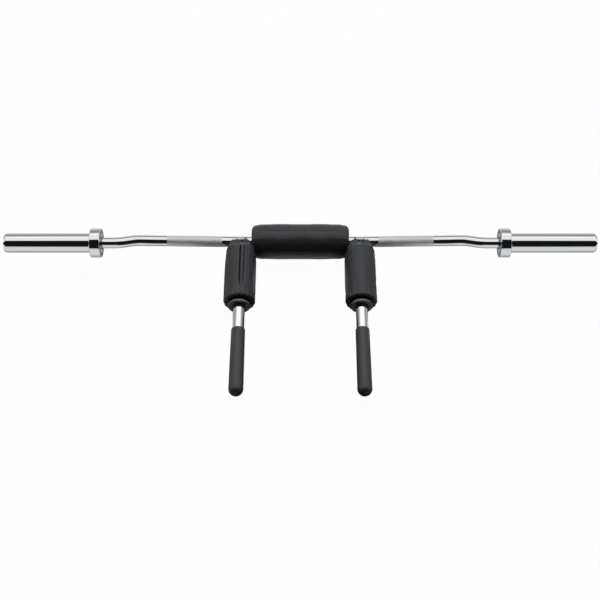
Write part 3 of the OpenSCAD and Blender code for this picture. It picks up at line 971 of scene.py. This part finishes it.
def side_outline():
    """A side cover from its drawn-in mouth over the shoulder and body to its flat lower end."""
    top, end, r = pads().side_from, pads().side_to, pads().side_r
    return [
        (20.4 * MM, top + 14 * MM), (20.6 * MM, top + 5 * MM), (21.2 * MM, top + 2.5 * MM),
        (22.4 * MM, top + 4 * MM), (25 * MM, top + 12 * MM), (30.5 * MM, top + 22 * MM),
        (35 * MM, top + 28 * MM), (38.9 * MM, top + 33 * MM), (r - 0.3 * MM, top + 38 * MM),
        (r, top + 46 * MM),
        (r, end - 60 * MM), (r, end - 12 * MM), (r, end - 5 * MM), (r - 1.2 * MM, end - 1 * MM),
        (r - 5 * MM, end), (r - 10 * MM, end), (24 * MM, end - 0.5 * MM),
        (18 * MM, end - 1 * MM)]


def centre_outline():
    """The middle cover from one drawn-in end over its crown to the other."""
    half, r = pads().centre_half, pads().centre_r + 1 * MM
    end = [
        (14.8 * MM, 6 * MM), (17 * MM, 2.5 * MM), (24 * MM, 0.3 * MM), (31 * MM, 0.0),
        (37 * MM, 1.2 * MM), (41.5 * MM, 5 * MM), (43.3 * MM, 9.5 * MM), (43 * MM, 12 * MM),
        (43.7 * MM, 15 * MM), (r - 0.8 * MM, 24 * MM), (r - 0.4 * MM, 45 * MM)]
    return [(x, -half + y) for x, y in end] + [(r, 0.0)] + [
        (x, half - y) for x, y in reversed(end)]


class SQUATBAR_OT_pads(bpy.types.Operator):
    """Wraps the three foam pads in vinyl with drawn-in ends, closing flaps and stitched hems"""

    bl_idname = "squatbar.pads"
    bl_label = "Pads"

    def execute(self, context):
        pad = pads()
        vinyl, foam = calendered_vinyl(), closed_cell_foam()
        tape, thread = woven_tape(), bonded_thread()
        centre_seam = mm(0.15, 0.3) + (0.07, 0.93)
        turns = {"left": math.radians(4), "right": math.radians(125)}
        seams = {"left": mm(3.8, 2.0) + (0.08, 0.86), "right": mm(1.6, 1.0) + (0.08, 0.95)}
        wraps = {
            "centre": Cover(
                centre_outline(), 160, pad.centre_r, on_yoke(math.radians(1)), 293,
                1.5 * MM, centre_seam)}
        for seed, (name, side) in enumerate(SIDES.items()):
            place = on_handle(side) @ Matrix.Rotation(-turns[name], 4, "Z")
            wraps[name] = Cover(
                side_outline(), 130, pad.side_r, place, 11 + seed, 5.0 * MM, seams[name],
                turns[name], side * math.pi / 4)
        for name, wrap in wraps.items():
            wrap.settle(name, (0.3 if name == "centre" else 0.8) * MM)
            bm = wrap.build(180)
            if name != "centre":
                pressed(bm, off_centre_pad)
            pressed(bm, off_floor)
            piece = finish_mesh(bm, f"{name}_pad_vinyl", sharp_over=math.pi)
            self.thicken(piece)
            give(piece, vinyl, "frame", "vinyl_cover", f"{name}_pad_cover")
            self.fill(name, wrap, foam)
            self.close(name, wrap, tape, thread)
        return {"FINISHED"}

    @staticmethod
    def thicken(piece):
        """Gives the vinyl its thickness, inwards."""
        wall = piece.modifiers.new("wall", "SOLIDIFY")
        wall.thickness = pads().sheet
        wall.offset = -1
        applied(piece)
        shade(piece.data, math.radians(50))

    @staticmethod
    def fill(name, wrap, foam):
        """The foam core inside a cover, turned from the same outline."""
        gap = pads().sheet + 0.6 * MM
        bore = sizes().shaft_r if name == "centre" else sizes().handle_r
        inside = [
            (spot.x + wrap.normal(row).x * -gap, spot.y + wrap.normal(row).y * -gap)
            for row, spot in enumerate(wrap.line) if row % 3 == 0]
        if name != "centre":
            inside = [(x, max(y, 19.5 * MM)) for x, y in inside if x > 20 * MM]
        inside = [(x, y) for x, y in inside if x > bore + 1 * MM]
        outline = [(bore, inside[0][1]), *inside, (bore, inside[-1][1])]
        core = turned(f"{name}_pad_core", outline, wrap.place, 144)
        bm = bmesh.new()
        bm.from_mesh(core.data)
        pressed(bm, wrap.under_closing)
        if name != "centre":
            pressed(bm, off_centre_pad)
        pressed(bm, lambda p: Vector((p.x, p.y, max(p.z, gap))))
        bm.to_mesh(core.data)
        bm.free()
        give(core, foam, "frame", "foam_core", f"{name}_pad_foam")

    @staticmethod
    def close(name, wrap, tape, thread):
        """The hook and loop tape under a cover's flap, and the stitched hem on it."""
        margin, width, lift, hem, pitch = mm(22, 16, 0.3, 5, 4.4)
        peek = (-4.5 if name == "left" else 2) * MM
        first, last = wrap.line[0].y + margin, wrap.line[-1].y - margin
        rows = [i for i, spot in enumerate(wrap.line) if first < spot.y < last]
        bm = bmesh.new()
        across = 30
        bmesh.ops.create_grid(bm, x_segments=across, y_segments=len(rows) - 1, size=0.5)
        for vert in bm.verts:
            row = rows[round((vert.co.y + 0.5) * (len(rows) - 1))]
            share = (wrap.line[row].y - wrap.first) / (wrap.last - wrap.first)
            edge = peek * wrap.span(share) if peek < 0 else peek
            reach = edge + (width - edge) * (vert.co.x + 0.5)
            spot = wrap.point(math.tau + reach / wrap.radius, row)
            outward = Vector((spot.x, spot.y, 0)).normalized() * lift
            vert.co = wrap.place @ (spot + outward)
        strip = finish_mesh(bm, f"{name}_pad_tape", sharp_over=math.pi)
        wall = strip.modifiers.new("wall", "SOLIDIFY")
        wall.thickness = 0.5 * MM
        applied(strip)
        give(strip, tape, "frame", "hook_and_loop", f"{name}_pad_closure")

        bm = bmesh.new()
        count = int((last - first) / pitch)
        for i in range(count):
            row = rows[round((len(rows) - 1) * (i + 0.5) / count)]
            spot = wrap.place @ wrap.point(hem / wrap.radius, row)
            made = bmesh.ops.create_uvsphere(bm, u_segments=8, v_segments=5, radius=0.5)
            shape = wrap.place.to_3x3().to_4x4() @ Matrix.Diagonal((*mm(0.9, 0.7, 3.2), 1))
            bmesh.ops.transform(
                bm, matrix=Matrix.Translation(spot) @ shape, verts=made["verts"])
        seam = finish_mesh(bm, f"{name}_pad_stitches")
        give(seam, thread, "frame", "vinyl_cover")


class SQUATBAR_OT_stage(bpy.types.Operator):
    """Sets the camera, the pale floor and plain soft studio light"""

    bl_idname = "squatbar.stage"
    bl_label = "Stage"

    def execute(self, context):
        self.floor()
        self.card()
        self.sky()
        self.lamps()
        self.camera()
        context.scene.view_settings.view_transform = "Standard"
        return {"FINISHED"}

    @staticmethod
    def floor():
        """A pale floor, white to the camera, with a soft shadow; mirrors and bounce light see
        painted shade round the bar and a dark cloth far in front, and mirrors a painted shadow of
        the bar.
        """
        bm = bmesh.new()
        bmesh.ops.create_grid(bm, x_segments=1, y_segments=1, size=12.0)
        plane = finish_mesh(bm, "studio_floor")
        if plane.data.polygons[0].normal.z < 0:
            plane.data.flip_normals()
        finish = Finish("white_sweep_paper")
        tree = finish.tree
        path = add_node(tree, "ShaderNodeLightPath")
        at = add_node(tree, "ShaderNodeSeparateXYZ", links={"Vector": finish.place})
        forward = at.outputs["Y"]
        aside = add_node(tree, "ShaderNodeMath", {"operation": "ABSOLUTE"}, {0: at.outputs["X"]})

        # Painted shade round and under the pads and beside the grips, and a black cloth far in
        # front,
        # lie in zones: from a place aside to another, from a place in front to another, with a soft
        # edge and a level.
        painted_shade_and_cloth = None
        for inner, half, start, end, soft, level in (
                (-1.0, 0.10, -0.45, 0.06, 0.07, 1.0),  # before the middle pad
                (-1.0, 0.35, -8.0, -0.70, 0.25, 1.0),  # far in front
                (-1.0, 0.12, 0.18, 0.24, 0.01, 1.0),  # under the middle pad
                (0.11, 0.24, 0.02, 0.15, 0.03, 0.85),  # beside the side pads
                (-1.0, 0.33, -0.34, -0.05, 0.03, 0.85)):  # beside the grips
            zone = faded(tree, (
                (aside, inner - 0.03, inner, 0.0, 1.0), (aside, half, half + 0.05, level, 0.0),
                (forward, start - soft, start, 0.0, 1.0), (forward, end, end + soft, 1.0, 0.0)))
            painted_shade_and_cloth = zone if painted_shade_and_cloth is None else add_node(
                tree, "ShaderNodeMath", {"operation": "MAXIMUM"}, {0: painted_shade_and_cloth, 1: zone})

        # Painted shadow: beside the pads the floor's glow in mirrors is darkened under and behind
        # the bar.
        most = 0.89
        painted_bar_shadow = faded(tree, (
            (forward, SLEEVE_AXIS.y - 0.10, SLEEVE_AXIS.y - 0.02, 0.0, 0.54),
            (aside, 0.12, 0.2, 0.0, 1.0),
            (forward, SLEEVE_AXIS.y + 0.02, 0.75, 1.0, 0.1)))
        # The glow that the painted shadow leaves.
        left = faded(tree, [(painted_bar_shadow, 0.0, most, most, 0.0)])

        paper = add_node(tree, "ShaderNodeBsdfDiffuse", links={"Color": (*colours().floor, 1)})
        # Near-black painted shade for the zones round the bar, and the black cloth far in front.
        cloth = add_node(tree, "ShaderNodeBsdfDiffuse", links={"Color": (0.004, 0.004, 0.004, 1)})
        glow = add_node(tree, "ShaderNodeEmission", links={
            "Color": (0.98, 0.99, 1.0, 1), "Strength": left})
        white = add_node(tree, "ShaderNodeEmission", links={"Strength": 1.0})
        camera_ray = path.outputs["Is Camera Ray"]
        glossy_share = add_node(tree, "ShaderNodeMath", {"operation": "MULTIPLY"}, {
            0: path.outputs["Is Glossy Ray"], 1: 0.8})
        white_share = add_node(tree, "ShaderNodeMath", {"operation": "MULTIPLY"}, {
            0: camera_ray, 1: 0.98})
        lit = add_node(tree, "ShaderNodeMixShader", links={0: glossy_share, 1: paper, 2: glow})
        # Mirrors and bounce light see the painted shade and the cloth in their zones.
        dark = add_node(tree, "ShaderNodeMixShader", links={0: painted_shade_and_cloth, 1: lit, 2: cloth})
        shown = add_node(tree, "ShaderNodeMixShader", links={0: white_share, 1: paper, 2: white})
        plane.data.materials.append(finish.end(
            add_node(tree, "ShaderNodeMixShader", links={0: camera_ray, 1: dark, 2: shown})))

    @staticmethod
    def card():
        """A low black card in front of the pads, out of the camera's sight, for deep blacks."""
        width, height, distance = 0.64, 0.30, 1.1
        bm = bmesh.new()
        bmesh.ops.create_grid(bm, x_segments=1, y_segments=1, size=0.5)
        for vert in bm.verts:
            vert.co = Vector((width * vert.co.x, -distance, height * (vert.co.y + 0.5)))
        card = finish_mesh(bm, "studio_card")
        card.visible_camera = card.visible_diffuse = card.visible_shadow = False
        finish = Finish("black_velvet_card", (4, 2, 0.5))
        nap, = finish.noises
        black = add_node(finish.tree, "ShaderNodeMix", {"data_type": "RGBA"}, {
            "Factor": nap, MIX_DARK: (0.003, 0.003, 0.003, 1),
            MIX_LIGHT: (0.006, 0.006, 0.006, 1)}).outputs[MIX_COLOUR]
        card.data.materials.append(finish.end(
            add_node(finish.tree, "ShaderNodeBsdfDiffuse", links={"Color": black})))

    @staticmethod
    def sky():
        """A bright room above and behind the bar, dark on the camera's side, white to look at."""
        world = bpy.data.worlds.new("studio")
        bpy.context.scene.world = world
        world.use_nodes = True
        tree = world.node_tree
        tree.nodes.clear()
        path = add_node(tree, "ShaderNodeLightPath")
        way = add_node(tree, "ShaderNodeSeparateXYZ", links={
            "Vector": add_node(tree, "ShaderNodeTexCoord").outputs["Generated"]})
        towards = add_node(
            tree, "ShaderNodeMath", {"operation": "MULTIPLY"}, {0: way.outputs["Y"], 1: -1.0})
        climb = add_node(
            tree, "ShaderNodeMath", {"operation": "ARCTAN2"}, {0: way.outputs["Z"], 1: towards})
        share = add_node(
            tree, "ShaderNodeMath", {"operation": "MULTIPLY"}, {0: climb, 1: 1 / math.pi})
        room = add_node(tree, "ShaderNodeValToRGB", links={"Fac": share})
        # Degrees from the camera's side over the top to the back, and the light's level there
        stops = [
            (0, 0.66), (4.5, 0.64), (8.5, 0.008), (75.5, 0.008), (79.5, 0.95), (119, 1.0),
            (123.5, 1.35), (127, 1.15), (133, 0.75), (141, 0.4), (151, 0.29), (160, 0.34),
            (180, 0.45)]
        bands = room.color_ramp.elements
        while len(bands) < len(stops):
            bands.new(0.5)
        for band, (degrees, level) in zip(bands, stops):
            band.position = degrees / 180
            band.color = (level, level, level, 1)
        around = add_node(tree, "ShaderNodeBackground", links={
            "Color": room,
            "Strength": faded(tree, [(path.outputs["Is Diffuse Ray"], 0.0, 1.0, 1.0, 0.25)])})
        white = add_node(tree, "ShaderNodeBackground", links={"Strength": 1.0})
        seen = add_node(tree, "ShaderNodeMixShader", links={
            0: path.outputs["Is Camera Ray"], 1: around, 2: white})
        add_node(tree, "ShaderNodeOutputWorld", links={"Surface": seen})

    @staticmethod
    def lamps():
        """One broad soft box high behind the bar."""
        light = bpy.data.lights.new("soft_box_back", "AREA")
        light.shape = "SQUARE"
        light.size = 2.2
        light.energy = 300.0
        lamp = bpy.data.objects.new("soft_box_back", light)
        lamp.location = (0, 1.9, 2.4)
        aim = Vector((0, YOKE_Y, 0)) - lamp.location
        lamp.rotation_euler = aim.to_track_quat("-Z", "Y").to_euler()
        lamp.visible_glossy = False
        bpy.context.scene.collection.objects.link(lamp)

    @staticmethod
    def camera():
        """Looks down on the bar from the front, as the photograph does."""
        elevation = math.radians(53.5)
        distance, below, aside = 2.876, 0.1529, 0.0008
        focal_px, frame_px, sensor = 1094.0, 600.0, 36.0
        up = Vector((0, math.sin(elevation), math.cos(elevation)))
        back = Vector((0, -math.cos(elevation), math.sin(elevation)))
        aim = Vector((-aside, YOKE_Y, sizes().yoke_z)) - up * below
        data = bpy.data.cameras.new("photo_camera")
        data.sensor_width = sensor
        data.lens = focal_px / frame_px * sensor
        data.clip_start, data.clip_end = 0.05, 60
        camera = bpy.data.objects.new("photo_camera", data)
        camera.location = aim + back * distance
        camera.rotation_euler = (-back).to_track_quat("-Z", "Y").to_euler()
        bpy.context.scene.collection.objects.link(camera)
        bpy.context.scene.camera = camera


class SQUATBAR_PT_panel(bpy.types.Panel):
    """Lists what the add-on builds"""

    bl_idname = "SQUATBAR_PT_panel"
    bl_label = "Squat bar"
    bl_space_type = "VIEW_3D"
    bl_region_type = "UI"
    bl_category = "Squat bar"

    def draw(self, context):
        for group in (sizes(), pads(), colours()):
            for name in group.__annotations__:
                self.layout.prop(group, name)
        for operator in OPERATORS:
            self.layout.operator(operator.bl_idname)


GROUPS = {
    "squat_bar_sizes": BarSizes, "squat_bar_pads": PadSizes, "squat_bar_colours": BarColours}
OPERATORS = (
    SQUATBAR_OT_shaft, SQUATBAR_OT_handles, SQUATBAR_OT_sleeves, SQUATBAR_OT_grips,
    SQUATBAR_OT_pads, SQUATBAR_OT_stage)


def register():
    for kind in (*GROUPS.values(), *OPERATORS, SQUATBAR_PT_panel):
        bpy.utils.register_class(kind)
    for name, kind in GROUPS.items():
        setattr(bpy.types.Scene, name, bpy.props.PointerProperty(type=kind))


def unregister():
    for name in GROUPS:
        delattr(bpy.types.Scene, name)
    for kind in reversed((*GROUPS.values(), *OPERATORS, SQUATBAR_PT_panel)):
        bpy.utils.unregister_class(kind)


def main():
    register()
    bpy.ops.squatbar.shaft()
    bpy.ops.squatbar.handles()
    bpy.ops.squatbar.sleeves()
    bpy.ops.squatbar.grips()
    bpy.ops.squatbar.pads()
    bpy.ops.squatbar.stage()


if __name__ == "__main__":
    main()
